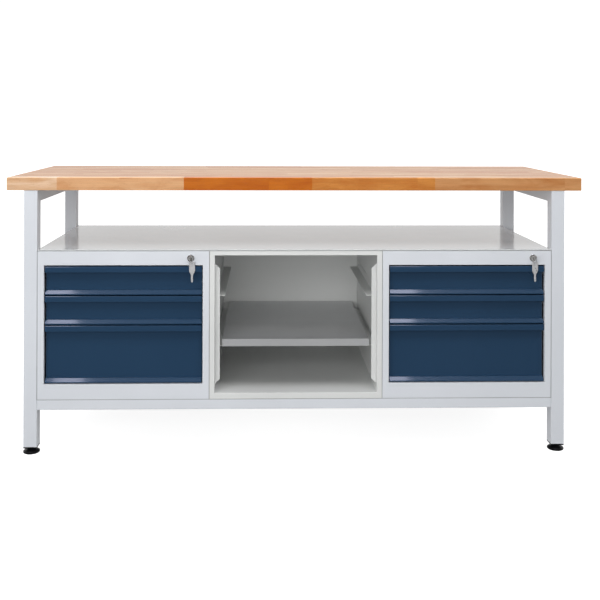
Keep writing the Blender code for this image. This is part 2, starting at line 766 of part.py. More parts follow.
def make_shelf_runners():
    """Angles on the side walls: one pair carries the shelf, one pair is spare."""
    wall_x = CENTRE_HALF - CENTRE_BORDER - GAP
    y = (FRONT + 0.030, MODULE_REAR - 0.040)
    for level, top in (("lower", SHELF_TOP - SHELF_LIP - GAP), ("upper", SPARE_RUNNER_HEIGHT)):
        for side, sign in (("left", -1), ("right", 1)):
            wall, web = sign * wall_x, sign * (wall_x - SHEET)
            tip = sign * (wall_x - 0.030)
            # The lower angle's web hangs down and the spare one's stands up: the same piece turned over.
            drop = -RUNNER_RISE if level == "lower" else RUNNER_RISE
            ledge = (top - SHEET, top) if level == "lower" else (top, top + SHEET)
            far = ledge[1] + drop if level == "lower" else ledge[0] + drop
            near, back = (ledge[1], ledge[0]) if level == "lower" else (ledge[0], ledge[1])
            outline = [(wall, near), (tip, near), (tip, back), (web, back), (web, far), (wall, far)]
            extrusion(f"{level}_{side}_shelf_runner", outline, "Y", *y, grey_paint())


def build():
    for obj in list(bpy.data.objects):
        bpy.data.objects.remove(obj)
    make_worktop()
    make_end_frame("left_end_frame", -FRAME_WIDTH / 2)
    make_end_frame("right_end_frame", FRAME_WIDTH / 2)
    make_rail("front_rail", FRONT)
    make_rail("rear_rail", REAR - RAIL)
    for where, (x, y) in leg_centres().items():
        make_leg_plug(where, x, y)
        make_levelling_foot(where, x, y)
    make_tray()
    for name, left, right in cabinet_spans():
        make_cabinet_body(name, left, right)
        inside = SHEET + GAP
        back_z = (MODULE_BOTTOM + inside, MODULE_TOP - inside)
        make_pan_back(name + "_back_panel", (left + inside, right - inside), back_z)
        make_drawers(name, left, right)
        make_lock(name, right)
        make_lock_bar(name, right)
    make_centre_body()
    make_shelf()
    make_shelf_runners()


build()
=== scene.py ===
import json
import math

import bmesh
import bpy
from mathutils import Matrix, Vector


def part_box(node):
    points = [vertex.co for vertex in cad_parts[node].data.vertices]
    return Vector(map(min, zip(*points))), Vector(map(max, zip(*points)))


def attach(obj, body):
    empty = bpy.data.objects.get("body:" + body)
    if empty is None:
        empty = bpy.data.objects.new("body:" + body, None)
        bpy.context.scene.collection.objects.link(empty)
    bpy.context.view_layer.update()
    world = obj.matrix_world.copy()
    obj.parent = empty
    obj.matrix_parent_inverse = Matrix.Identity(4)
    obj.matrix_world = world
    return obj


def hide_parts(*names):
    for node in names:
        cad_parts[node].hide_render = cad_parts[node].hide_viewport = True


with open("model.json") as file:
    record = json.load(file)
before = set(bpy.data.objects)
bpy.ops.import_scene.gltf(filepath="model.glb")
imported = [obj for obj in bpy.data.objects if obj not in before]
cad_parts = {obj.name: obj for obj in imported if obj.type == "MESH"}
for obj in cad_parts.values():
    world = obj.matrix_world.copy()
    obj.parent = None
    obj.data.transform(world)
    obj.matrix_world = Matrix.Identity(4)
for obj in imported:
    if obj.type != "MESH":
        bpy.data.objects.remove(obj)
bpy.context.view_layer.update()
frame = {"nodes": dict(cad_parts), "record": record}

nodes = frame["nodes"]

# ---------------------------------------------------------------------------
# Measures: places come from the frame, sizes of stock and of small parts are given here
# ---------------------------------------------------------------------------

MM = 0.001
WORKTOP_LOW, WORKTOP_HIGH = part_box("worktop")
FRAME_LOW, FRAME_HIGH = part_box("left_end_frame")
FRONT = FRAME_LOW.y  # the plane of the legs and the cabinet faces
REAR = FRAME_HIGH.y
FRAME_LEFT, LEG_INNER_LEFT = FRAME_LOW.x, FRAME_HIGH.x
LEG = LEG_INNER_LEFT - FRAME_LEFT
CABINETS = ("left", "right")
DRAWERS = ("top", "middle", "bottom")
CORNERS = ("front_left", "front_right", "rear_left", "rear_right")
SHEET = 1.5 * MM  # thickness of the folded parts
TOP_CROSS = 35.0 * MM  # height of the tubes under the worktop
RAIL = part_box("front_rail")[1].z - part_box("front_rail")[0].z
STEM_RADIUS = 5.0 * MM  # of a levelling foot
BOX_TONGUE = 12.0 * MM  # the tongues that stand out from a drawer box's sides
CENTRE_END, CABINET_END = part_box("centre_body")[1].x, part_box("right_cabinet_body")[1].x
MODULES_LOW, MODULES_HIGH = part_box("centre_body")[0].z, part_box("centre_body")[1].z
BOX_RIM = {drawer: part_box(f"left_{drawer}_drawer_box")[1].z for drawer in DRAWERS}
MERGE_DISTANCE = 0.01 * MM  # points closer than this are one point
STAVES = 14  # across the worktop
CREASE = 35  # degrees; a sharper turn of the surface counts as an edge


# ---------------------------------------------------------------------------
# Materials
# ---------------------------------------------------------------------------


class Shader:
    """A Principled material whose nodes are added one call at a time."""

    def __init__(self, name, **sockets):
        self.material = bpy.data.materials.new(name)
        self.material.use_nodes = True
        self.tree = self.material.node_tree
        self.tree.nodes.clear()
        self.surface = self.add("ShaderNodeBsdfPrincipled")
        output = self.add("ShaderNodeOutputMaterial")
        self.tree.links.new(self.surface.outputs[0], output.inputs[0])
        self.place = self.add("ShaderNodeTexCoord").outputs["Object"]
        self.put(self.surface, sockets)

    def add(self, kind, inputs=None, **settings):
        node = self.tree.nodes.new(kind)
        for name, value in settings.items():
            setattr(node, name, value)
        self.put(node, inputs or {})
        return node

    def put(self, node, inputs):
        for key, value in inputs.items():
            socket = node.inputs[key.replace("_", " ") if isinstance(key, str) else key]
            if isinstance(value, bpy.types.NodeSocket):
                self.tree.links.new(value, socket)
            else:
                socket.default_value = value

    def math(self, operation, a, b=0.0):
        return self.add("ShaderNodeMath", {0: a, 1: b}, operation=operation).outputs[0]

    def gap(self, a, b):
        """How far apart two values are."""
        return self.math("ABSOLUTE", self.math("SUBTRACT", a, b))

    def xyz(self, vector=None):
        return self.add("ShaderNodeSeparateXYZ", {0: vector or self.place}).outputs

    def vector(self, x, y, z):
        return self.add("ShaderNodeCombineXYZ", {0: x, 1: y, 2: z}).outputs[0]

    def scaled(self, x, y, z, vector=None):
        mapping = self.add("ShaderNodeMapping", {"Vector": vector or self.place, "Scale": (x, y, z)})
        return mapping.outputs[0]

    def noise(self, scale, detail=2.0, vector=None, rough=0.5, distortion=0.0):
        sockets = {"Vector": vector or self.place, "Scale": scale, "Detail": detail}
        sockets.update({"Roughness": rough, "Distortion": distortion})
        return self.add("ShaderNodeTexNoise", sockets).outputs[0]

    def random(self, x, y, z):
        noise = self.add("ShaderNodeTexWhiteNoise", {"Vector": self.vector(x, y, z)})
        return noise.outputs["Value"]

    def fit(self, value, low, high, to_low=0.0, to_high=1.0, smooth=False):
        sockets = {"Value": value, "From Min": low, "From Max": high, "To Min": to_low, "To Max": to_high}
        kind = "SMOOTHSTEP" if smooth else "LINEAR"
        return self.add("ShaderNodeMapRange", sockets, interpolation_type=kind).outputs[0]

    def mix(self, factor, a, b, blend="MIX"):
        node = self.add("ShaderNodeMix", {0: factor, 6: a, 7: b}, data_type="RGBA", blend_type=blend)
        return node.outputs[2]

    def tinted(self, colour, red, green, blue):
        """The colour, multiplied channel by channel."""
        return self.mix(1.0, colour, rgb(red, green, blue), "MULTIPLY")

    def ramp(self, value, *stops, constant=False):
        node = self.add("ShaderNodeValToRGB", {0: value})
        node.color_ramp.interpolation = "CONSTANT" if constant else "LINEAR"
        elements = node.color_ramp.elements
        while len(elements) > 1:
            elements.remove(elements[-1])
        elements[0].position, elements[0].color = stops[0]
        for position, colour in stops[1:]:
            elements.new(position).color = colour
        return node.outputs[0]

    def bump(self, height, depth):
        return self.add("ShaderNodeBump", {"Height": height, "Strength": 1.0, "Distance": depth}).outputs[0]


def rgb(red, green, blue):
    return (red, green, blue, 1.0)


def toned(colour, share):
    """The colour, darker for a share under 1 and lighter above it."""
    return rgb(*(channel * share for channel in colour[:3]))


def painted_light_by_depth(s, base, painted_depth_light):
    """The colour with painted light and shade that changes from front to back; stops are (y, tone)."""
    places, tones = zip(*painted_depth_light)
    depth = s.fit(s.xyz()[1], places[0], places[-1])
    shares = [(place - places[0]) / (places[-1] - places[0]) for place in places]
    greys = [rgb(tone, tone, tone) for tone in tones]
    return s.mix(1.0, base, s.ramp(depth, *zip(shares, greys)), "MULTIPLY")


def painted_seam_shade(s):
    """Painted shade from 0 to 0.75 at the planes where the modules meet or end, standing in for the shade in
    the seams; it lies on these planes, so it covers the modules' outer faces too.
    """
    x, _, z = s.xyz()
    across = s.math("ABSOLUTE", x)
    beyond = s.math("MAXIMUM", s.math("SUBTRACT", MODULES_LOW, z), s.math("SUBTRACT", z, MODULES_HIGH))
    outward = s.math("SUBTRACT", across, CABINET_END)
    to_upright = s.math("MINIMUM", s.gap(across, CENTRE_END), s.math("ABSOLUTE", outward))
    to_upright = s.math("MAXIMUM", to_upright, beyond)
    to_level = s.math("MAXIMUM", s.math("ABSOLUTE", beyond), outward)
    return s.fit(s.math("MINIMUM", to_upright, to_level), 0.5 * MM, 1.5 * MM, 0.75, 0.0, smooth=True)


def powder_coat(name, colour, roughness, coat=0.0, peel=0.02 * MM, scuffing=0.10, painted_depth_light=()):
    """Powder coat: fine orange peel, slight clouds of tone, a few faint scuffs, painted shade at the module
    seams, and painted light and shade from front to back where stops are given.
    """
    s = Shader(name, Coat_Weight=coat, Coat_Roughness=0.08)
    clouds = s.noise(3.5, 3.0)
    speckle = s.noise(900.0, 2.0)
    scuffs = s.fit(s.noise(14.0, 6.0, s.scaled(1.0, 1.0, 3.0), 0.65), 0.60, 0.72)
    base = s.mix(s.fit(clouds, 0.35, 0.65), toned(colour, 0.965), toned(colour, 1.02))
    base = s.mix(s.fit(speckle, 0.35, 0.65, 0.0, 0.25), base, toned(colour, 0.93))
    scuffs = s.math("MULTIPLY", scuffs, scuffing)
    base = s.mix(scuffs, base, toned(colour, 0.80))
    rough = s.math("ADD", s.fit(clouds, 0.3, 0.7, roughness - 0.03, roughness + 0.03), scuffs)
    # painted light and shade that changes from front to back
    if painted_depth_light:
        base = painted_light_by_depth(s, base, painted_depth_light)
    # painted shade: the seams between the modules, and the faces on their outer planes, darkened as if in
    # shade
    base = s.mix(painted_seam_shade(s), base, s.tinted(base, 0.30, 0.29, 0.28))
    peel_height = s.math("ADD", s.noise(420.0, 1.0), s.math("MULTIPLY", s.noise(130.0, 1.0), 1.5))
    s.put(s.surface, {"Base Color": base, "Roughness": rough, "Normal": s.bump(peel_height, peel)})
    return s.material


def beech_blocks():
    """Edge-glued beech: staves of short blocks along X, end grain on the ends; set tones in the front."""
    s = Shader("beech", Coat_Weight=0.45, Coat_Roughness=0.22, Specular_IOR_Level=0.25)
    x, y, z = s.xyz()
    stave_width = (WORKTOP_HIGH.y - WORKTOP_LOW.y) / STAVES
    across = s.math("DIVIDE", s.math("SUBTRACT", y, WORKTOP_LOW.y - 0.1 * MM), stave_width)
    stave = s.math("FLOOR", across)
    length = s.fit(s.random(stave, 3.0, 1.0), 0.0, 1.0, 0.34, 0.47)
    along = s.math("ADD", s.math("DIVIDE", x, length), s.math("MULTIPLY", s.random(stave, 1.0, 7.0), 5.0))
    block = s.math("FLOOR", along)
    tone = s.random(stave, block, 2.0)

    pale, tan = rgb(0.74, 0.46, 0.24), rgb(0.66, 0.36, 0.16)
    warm, orange = rgb(0.66, 0.35, 0.17), rgb(0.60, 0.26, 0.085)
    any_stave = s.ramp(tone, (0.0, pale), (0.35, tan), (0.75, warm), (1.0, orange))
    width = WORKTOP_HIGH.x - WORKTOP_LOW.x
    share = s.fit(x, WORKTOP_LOW.x, WORKTOP_HIGH.x)
    joints = (-0.73, -0.346, 0.043, 0.420)  # x of the joints in the front stave
    stops = [0.0] + [(joint - WORKTOP_LOW.x) / width for joint in joints]
    front_tones = (
        rgb(0.98, 0.77, 0.57),
        rgb(0.89, 0.56, 0.31),
        rgb(0.70, 0.210, 0.012),
        rgb(0.76, 0.330, 0.072),
        rgb(0.76, 0.42, 0.185),
    )
    front_stave = s.ramp(share, *zip(stops, front_tones), constant=True)
    is_front = s.math("LESS_THAN", across, 1.0)
    base = s.mix(is_front, any_stave, front_stave)

    shift = s.math("MULTIPLY", s.random(stave, block, 5.0), 40.0)
    moved = {0: s.place, 1: s.vector(shift, shift, shift)}
    own = s.add("ShaderNodeVectorMath", moved, operation="ADD").outputs[0]
    bands = s.noise(1.0, 4.0, s.scaled(1.6, 55.0, 55.0, own), 0.55, 0.6)
    streaks = s.noise(1.0, 3.0, s.scaled(9.0, 420.0, 420.0, own), 0.6)
    flecks = s.fit(s.noise(1.0, 1.0, s.scaled(120.0, 1500.0, 1500.0, own), 0.5), 0.62, 0.74)
    patches = s.noise(1.0, 3.0, s.scaled(7.0, 24.0, 24.0, own), 0.6, 0.8)
    base = s.mix(s.fit(patches, 0.42, 0.68, 0.0, 0.7), base, s.tinted(base, 0.84, 0.64, 0.42))
    base = s.mix(s.fit(patches, 0.50, 0.34, 0.0, 0.50), base, s.tinted(base, 1.14, 1.18, 1.22))
    grained = s.mix(s.fit(bands, 0.42, 0.68, 0.0, 0.7), base, s.tinted(base, 0.84, 0.70, 0.56))
    grained = s.mix(s.fit(streaks, 0.40, 0.70, 0.0, 0.6), grained, s.tinted(base, 1.16, 1.15, 1.12))
    grained = s.mix(s.math("MULTIPLY", flecks, 0.45), grained, s.tinted(base, 0.50, 0.36, 0.26))

    normal_x = s.math("ABSOLUTE", s.xyz(s.add("ShaderNodeNewGeometry").outputs["Normal"])[0])
    is_end = s.math("GREATER_THAN", normal_x, 0.7)
    heart_y = s.math("MULTIPLY", s.math("SUBTRACT", s.random(stave, 9.0, 4.0), 0.5), 3.0)
    heart_z = WORKTOP_LOW.z - 0.05  # the growth rings centre below the board
    ring_y = s.math("ADD", s.math("SUBTRACT", s.math("FRACT", across), 0.5), heart_y)
    ring_z = s.math("DIVIDE", s.math("SUBTRACT", z, heart_z), stave_width)
    radius = s.math("SQRT", s.math("ADD", s.math("POWER", ring_y, 2.0), s.math("POWER", ring_z, 2.0)))
    wander = s.math("MULTIPLY", s.noise(60.0), 1.2)
    rings = s.math("PINGPONG", s.math("ADD", s.math("MULTIPLY", radius, 17.0), wander), 1.0)
    late_wood = s.tinted(base, 0.48, 0.36, 0.26)
    end_grain = s.mix(s.math("MULTIPLY", rings, 0.5), s.tinted(base, 0.72, 0.60, 0.50), late_wood)
    grained = s.mix(is_end, grained, end_grain)

    edge_along = s.math("MULTIPLY", s.math("PINGPONG", along, 0.5), length)
    front_edge = 1.0
    for joint in joints:
        front_edge = s.math("MINIMUM", front_edge, s.gap(x, joint))
    edge_along = s.math("MULTIPLY", edge_along, s.math("SUBTRACT", 1.0, is_front))
    edge_along = s.math("ADD", edge_along, s.math("MULTIPLY", front_edge, is_front))
    edge_across = s.math("MULTIPLY", s.math("PINGPONG", across, 0.5), stave_width)
    glue = s.fit(s.math("MINIMUM", edge_along, edge_across), 0.15 * MM, 0.6 * MM, 1.0, 0.0, smooth=True)
    coloured = s.mix(s.math("MULTIPLY", glue, 0.55), grained, s.tinted(grained, 0.42, 0.28, 0.18))
    rough = s.math("ADD", s.fit(streaks, 0.3, 0.7, 0.34, 0.46), s.math("MULTIPLY", flecks, 0.15))
    hollows = s.math("ADD", flecks, s.math("MULTIPLY", glue, 0.8))
    height = s.math("SUBTRACT", s.math("MULTIPLY", streaks, 0.6), hollows)
    s.put(s.surface, {"Base Color": coloured, "Roughness": rough, "Normal": s.bump(height, 0.05 * MM)})
    return s.material


def zinc_plate():
    """Zinc-plated sheet: cool crystals, rolling streaks and dull patches."""
    s = Shader("zinc", Metallic=0.65)
    crystals = s.add("ShaderNodeTexVoronoi", {"Vector": s.place, "Scale": 95.0})
    tone = s.add("ShaderNodeSeparateColor", {0: crystals.outputs["Color"]}).outputs[0]
    streaks = s.noise(1.0, 3.0, s.scaled(300.0, 6.0, 300.0))
    patches = s.noise(9.0, 4.0)
    base = s.mix(tone, rgb(0.50, 0.52, 0.55), rgb(0.66, 0.68, 0.70))
    base = s.mix(s.fit(streaks, 0.35, 0.65, 0.0, 0.5), base, rgb(0.56, 0.57, 0.59))
    rough = s.math("ADD", s.fit(patches, 0.3, 0.7, 0.27, 0.42), s.math("MULTIPLY", tone, 0.08))
    s.put(s.surface, {"Base Color": base, "Roughness": rough, "Normal": s.bump(streaks, 0.01 * MM)})
    return s.material


def nickel(name, metallic, colour, roughness):
    """Nickel plate with fine turning marks and handling scratches."""
    s = Shader(name, Metallic=metallic)
    scratches = s.noise(1.0, 2.0, s.scaled(900.0, 120.0, 2200.0))
    haze = s.noise(160.0, 3.0)
    base = s.mix(haze, toned(colour, 0.85), colour)
    rough = s.fit(haze, 0.3, 0.7, *roughness)
    s.put(s.surface, {"Base Color": base, "Roughness": rough, "Normal": s.bump(scratches, 0.004 * MM)})
    return s.material


def moulded_plastic():
    """Black moulded plastic with a fine spark-eroded texture and a little dust."""
    s = Shader("black_plastic", Specular_IOR_Level=0.3)
    grain = s.noise(1400.0, 2.0)
    dust = s.fit(s.noise(60.0, 5.0), 0.5, 0.75)
    base = s.mix(s.math("MULTIPLY", dust, 0.06), rgb(0.004, 0.004, 0.005), rgb(0.07, 0.07, 0.08))
    rough = s.fit(grain, 0.3, 0.7, 0.28, 0.42)
    s.put(s.surface, {"Base Color": base, "Roughness": rough, "Normal": s.bump(grain, 0.02 * MM)})
    return s.material


GREY_PAINT = powder_coat("light_grey_paint", rgb(0.660, 0.685, 0.725), 0.42)
# the cabinets' grey paint tinted warmer: painted light, for the warmer light on the centre module
CENTRE_PAINT_WARM_LIGHT = powder_coat("centre_grey_paint_warm_light", rgb(0.68, 0.69, 0.68), 0.42)
TRAY_GREY = rgb(0.62, 0.64, 0.645)
TRAY_PAINT = powder_coat("tray_gloss_paint", TRAY_GREY, 0.22, coat=0.8, peel=0.004 * MM, scuffing=0.01)
DARK_BLUE = rgb(0.0168, 0.0490, 0.1020)
BLUE_PAINT = powder_coat("blue_paint", DARK_BLUE, 0.30, coat=1.0, peel=0.002 * MM, scuffing=0.02)
SHELF_PAINTED_LIGHT = (  # y and tone of painted light and shade, darkest just behind the front lip and lighter towards the back; the first two cover the shelf's front lip
    (FRONT, 0.54),
    (FRONT + 0.019, 0.54),
    (FRONT + 0.022, 0.30),
    (FRONT + 0.10, 0.42),
    (FRONT + 0.25, 0.82),
    (REAR, 1.0),
)
SHELF_PAINT = powder_coat("shelf_paint", rgb(0.68, 0.69, 0.70), 0.40, painted_depth_light=SHELF_PAINTED_LIGHT)
BEECH = beech_blocks()
ZINC = zinc_plate()
NICKEL = nickel("nickel", 0.8, rgb(0.80, 0.79, 0.77), (0.12, 0.24))
PLASTIC = moulded_plastic()
KEY_METAL = nickel("key_metal", 0.45, rgb(0.80, 0.80, 0.81), (0.26, 0.40))

SLOT_FINISH = {
    "beech": BEECH,
    "light_grey_paint": GREY_PAINT,
    "blue_paint": BLUE_PAINT,
    "shelf_paint": SHELF_PAINT,
    "zinc": ZINC,
    "black_plastic": PLASTIC,
    "chrome": NICKEL,
}

# ---------------------------------------------------------------------------
# Finishes and edge rounding of the CAD nodes
# ---------------------------------------------------------------------------


def finish_node(name, material, rounding, segments):
    """Gives a CAD node its material and rounds its edges."""
    obj = nodes[name]
    for slot in obj.material_slots:
        slot.material = material
    weld = obj.modifiers.new("weld", "WELD")
    weld.merge_threshold = MERGE_DISTANCE
    if rounding:
        bevel = obj.modifiers.new("edges", "BEVEL")
        bevel.width = rounding
        bevel.segments = segments
        bevel.limit_method = "ANGLE"
        bevel.angle_limit = math.radians(CREASE)
        bevel.use_clamp_overlap = True
        bevel.harden_normals = True
    normals = obj.modifiers.new("normals", "WEIGHTED_NORMAL")
    normals.keep_sharp = True


slot_of = {part["node"]: part["material_slot"] for part in frame["record"]["subparts"]}
SPECIAL = {
    "top_tray": TRAY_PAINT,
    "centre_body": CENTRE_PAINT_WARM_LIGHT,
    "centre_back_panel": CENTRE_PAINT_WARM_LIGHT,
    **{node: CENTRE_PAINT_WARM_LIGHT for node in nodes if "shelf_runner" in node},
}
ROUNDING = (  # part of a node's name, width of its rounded edges, segments
    ("end_frame", 2.0 * MM, 3),
    ("rail", 1.5 * MM, 3),
    ("cabinet_body", 0.6 * MM, 2),
    ("centre_body", 0.6 * MM, 2),
    ("drawer_front", 0.7 * MM, 2),
    ("tray", 0.8 * MM, 2),
    ("shelf", 0.7 * MM, 2),
    ("leg_plug", 0.6 * MM, 2),
    ("levelling_foot", 0.0, 2),
    ("lock", 0.0, 2),
    ("key", 0.15 * MM, 2),
    ("worktop", 1.6 * MM, 3),
)
PLAIN_ROUNDING = (0.3 * MM, 1)
for node_name in nodes:
    matches = (sizes for part, *sizes in ROUNDING if part in node_name)
    finish = SPECIAL.get(node_name, SLOT_FINISH[slot_of[node_name]])
    finish_node(node_name, finish, *next(matches, PLAIN_ROUNDING))


# ---------------------------------------------------------------------------
# Fine pieces: fasteners, welds, hems, foot threads, spare keys
# ---------------------------------------------------------------------------


def make_piece(name, bm, finish, body="bench", crease=CREASE):
    """Turns a bmesh into a piece that rides on a body."""
    bmesh.ops.recalc_face_normals(bm, faces=bm.faces)
    mesh = bpy.data.meshes.new(name)
    bm.to_mesh(mesh)
    bm.free()
    mesh.materials.append(finish)
    mesh.shade_smooth()
    mesh.set_sharp_from_angle(angle=math.radians(crease))
    piece = bpy.data.objects.new(name, mesh)
    bpy.context.scene.collection.objects.link(piece)
    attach(piece, body)
    return piece


def facing(place, direction):
    """A place whose local Z axis points along the direction."""
    return Matrix.Translation(place) @ Vector(direction).to_track_quat("Z", "Y").to_matrix().to_4x4()


def lathe(bm, profile, place, sides):
    """Adds a turned shape; profile points are (radius, height) along the place's Z axis."""
    rings = []
    for radius, height in profile:
        corners = 1 if radius == 0 else sides
        turns = [2 * math.pi * k / corners for k in range(corners)]
        points = [Vector((radius * math.cos(turn), radius * math.sin(turn), height)) for turn in turns]
        rings.append([bm.verts.new(place @ point) for point in points])
    for ring, following in zip(rings, rings[1:]):
        for k in range(sides):
            near, far = k, (k + 1) % sides
            corners = [(ring, near), (ring, far), (following, far), (following, near)]
            bm.faces.new(list(dict.fromkeys(circle[i % len(circle)] for circle, i in corners)))


def circle_points(radius, count, place):
    """Points round a circle in the place's XY plane."""
    turns = [2 * math.pi * k / count for k in range(count)]
    return [place @ Vector((radius * math.cos(turn), radius * math.sin(turn), 0)) for turn in turns]


def sweep(bm, path, radii, sides, closed=False):
    """Adds a tube along the path, with a radius at each point."""
    count = len(path)
    rings = []
    side = None
    for i, point in enumerate(path):
        before = path[i - 1] if closed or i else point
        after = path[(i + 1) % count] if closed or i + 1 < count else point
        along = (after - before).normalized()
        if side is None:
            side = along.orthogonal()
        side = (side - along * side.dot(along)).normalized()
        up = along.cross(side)
        ring = []
        for k in range(sides):
            turn = 2 * math.pi * k / sides
            ring.append(bm.verts.new(point + radii[i] * (math.cos(turn) * side + math.sin(turn) * up)))
        rings.append(ring)
    pairs = list(zip(rings, rings[1:])) + ([(rings[-1], rings[0])] if closed else [])
    for ring, following in pairs:
        for k in range(sides):
            j = (k + 1) % sides
            bm.faces.new((ring[k], ring[j], following[j], following[k]))
    if not closed:
        bm.faces.new(rings[0][::-1])
        bm.faces.new(rings[-1])


def rivet(bm, place, radius=3.0 * MM):
    """The domed head of a blind rivet, with the hollow its stem leaves."""
    height = 0.32 * radius
    sunk, hollow = -0.1 * radius, 0.35 * height
    flank = [(0, sunk), (radius, sunk), (radius, 0.15 * height), (0.85 * radius, 0.6 * height)]
    crown = [(0.55 * radius, height), (0.30 * radius, height), (0.26 * radius, hollow), (0, hollow)]
    lathe(bm, flank + crown, place, 20)


def socket_screw(bm, place, radius=4.0 * MM, height=2.4 * MM):
    """A low round-headed screw with a six-sided socket, on a washer."""
    washer, sunk, rim = 1.6 * radius, -0.2 * MM, 0.9 * MM
    plate = [(0, sunk), (washer, sunk), (washer, 0.8 * MM), (0.6 * washer, rim), (0, rim)]
    lathe(bm, plate, place, 24)
    head = [(0, 0), (radius, 0), (radius, rim + 0.4 * height), (0.85 * radius, rim + 0.8 * height)]
    head += [(0.60 * radius, rim + height), (0.50 * radius, rim + height)]
    lathe(bm, head, place, 24)
    floor = rim + 0.3 * height
    lathe(bm, [(0.52 * radius, rim + height), (0.50 * radius, floor), (0, floor)], place, 6)


def weld_bead(bm, start, end, radius=2.2 * MM):
    """A rippled fillet weld from start to end."""
    start, end = Vector(start), Vector(end)
    ripple_length, ripple_depth, ripple_turn = 1.1 * MM, 0.10, 2.1
    steps = max(8, int((end - start).length / ripple_length))
    path = [start.lerp(end, i / steps) for i in range(steps + 1)]
    radii = []
    for i in range(steps + 1):
        fade = min(1.0, 0.45 + 0.3 * min(i, steps - i))  # thinner at both ends
        radii.append(radius * fade * (1.0 + ripple_depth * math.sin(ripple_turn * i)))
    sweep(bm, path, radii, 8)


def rounded_rectangle(half_x, half_y, radius, steps=4):
    """Corner points of a rounded rectangle round the origin, anticlockwise."""
    points = []
    for quarter, (sx, sy) in enumerate(((1, 1), (-1, 1), (-1, -1), (1, -1))):
        for k in range(steps + 1):
            turn = math.pi / 2 * (quarter + k / steps)
            x = sx * (half_x - radius) + radius * math.cos(turn)
            y = sy * (half_y - radius) + radius * math.sin(turn)
            points.append((x, y))
    return points


def frame_welds():
    """Fillet welds where the cross tubes and the long rails meet the legs."""
    rail_low, rail_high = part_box("front_rail")
    cross_bottom = FRAME_HIGH.z - TOP_CROSS
    clear = 3 * MM  # the beads stop this far short of the tubes' corners
    for side, sign in (("left", -1), ("right", 1)):
        bm = bmesh.new()
        outer, inner = sign * abs(FRAME_LEFT), sign * abs(LEG_INNER_LEFT)
        tube = (outer - sign * clear, inner + sign * clear)
        low_tube = (outer - sign * clear, outer - sign * (RAIL - clear))
        for y in (FRONT + LEG, REAR - LEG):
            weld_bead(bm, (tube[0], y, cross_bottom), (tube[1], y, cross_bottom))
            for z in (rail_low.z, rail_high.z):
                weld_bead(bm, (low_tube[0], y, z), (low_tube[1], y, z))
        for rail in ("front_rail", "rear_rail"):
            low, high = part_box(rail)
            weld_bead(bm, (inner, low.y + clear, low.z), (inner, high.y - clear, low.z))
        make_piece(side + "_frame_welds", bm, GREY_PAINT)


def worktop_screws():
    """Screws up through the top cross tubes into the worktop."""
    height = FRAME_HIGH.z - TOP_CROSS
    for side, sign in (("left", -1), ("right", 1)):
        bm = bmesh.new()
        middle = sign * (abs(FRAME_LEFT) + abs(LEG_INNER_LEFT)) / 2
        for share in (0.22, 0.5, 0.78):
            y = FRONT + share * (REAR - FRONT)
            socket_screw(bm, facing((middle, y, height), (0, 0, -1)))
        make_piece(side + "_worktop_screws", bm, ZINC)


def back_panel_rivets(module):
    """Blind rivets round the edge of a module's back panel."""
    low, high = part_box(module + "_back_panel")
    inset, spaces_across, spaces_up = 9 * MM, 4, 3
    bm = bmesh.new()
    for i in range(spaces_across + 1):
        for j in range(spaces_up + 1):
            if i in (0, spaces_across) or j in (0, spaces_up):
                x = low.x + inset + (high.x - low.x - 2 * inset) * i / spaces_across
                z = low.z + inset + (high.z - low.z - 2 * inset) * j / spaces_up
                rivet(bm, facing((x, high.y, z), (0, 1, 0)))
    make_piece(module + "_back_rivets", bm, ZINC)


def centre_rivets():
    """Rivets that hold the shelf runners to the side walls, and the two near the floor's rear corners."""
    from_ends, off_centre, from_rear = 30 * MM, 199 * MM, 78 * MM
    for level in ("lower", "upper"):
        bm = bmesh.new()
        for side, inward in (("left", 1), ("right", -1)):
            low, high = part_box(f"{level}_{side}_shelf_runner")
            web = (low.x if inward > 0 else high.x) + inward * SHEET
            middle = (low.z + high.z) / 2
            for y in (low.y + from_ends, high.y - from_ends):
                rivet(bm, facing((web, y, middle), (inward, 0, 0)), 3.5 * MM)
        make_piece(level + "_runner_rivets", bm, ZINC)
    bm = bmesh.new()
    for sign in (-1, 1):
        place = (sign * off_centre, REAR - from_rear, MODULES_LOW + SHEET)
        rivet(bm, facing(place, (0, 0, 1)), 3.6 * MM)
    make_piece("centre_floor_rivets", bm, NICKEL)


def channel_rivets(cabinet):
    """Blind rivets through the webs of the drawer channels."""
    bm = bmesh.new()
    for drawer in DRAWERS:
        for side, inward in (("left", 1), ("right", -1)):
            low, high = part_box(f"{cabinet}_{drawer}_drawer_{side}_channel")
            web = (low.x if inward > 0 else high.x) + inward * SHEET
            for share in (0.1, 0.5, 0.9):
                y = low.y + share * (high.y - low.y)
                rivet(bm, facing((web, y, (low.z + high.z) / 2), (inward, 0, 0)), 2.2 * MM)
    make_piece(cabinet + "_channel_rivets", bm, ZINC)


def drawer_trim(cabinet, drawer):
    """A rolled hem round the box's rim, and the screws that hold the front to the box."""
    name = f"{cabinet}_{drawer}_drawer"
    low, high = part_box(name + "_box")
    wall_low, wall_high = low.x + BOX_TONGUE, high.x - BOX_TONGUE
    hem_radius, inset, screw_inset = 1.4 * MM, SHEET + 0.9 * MM, 14 * MM
    half_x, half_y = (wall_high - wall_low) / 2 - inset, (high.y - low.y) / 2 - inset
    middle = Vector(((wall_low + wall_high) / 2, (low.y + high.y) / 2, BOX_RIM[drawer] - SHEET))
    bm = bmesh.new()
    path = [middle + Vector((x, y, 0)) for x, y in rounded_rectangle(half_x, half_y, 3 * MM)]
    sweep(bm, path, [hem_radius] * len(path), 10, closed=True)
    make_piece(name + "_hem", bm, ZINC, name)
    bm = bmesh.new()
    for share in (0.12, 0.88):
        for rise in (screw_inset, BOX_RIM[drawer] - low.z - screw_inset):
            place = (wall_low + share * (wall_high - wall_low), low.y + SHEET, low.z + rise)
            socket_screw(bm, facing(place, (0, 1, 0)), 3.2 * MM, 1.8 * MM)
    make_piece(name + "_front_screws", bm, ZINC, name)


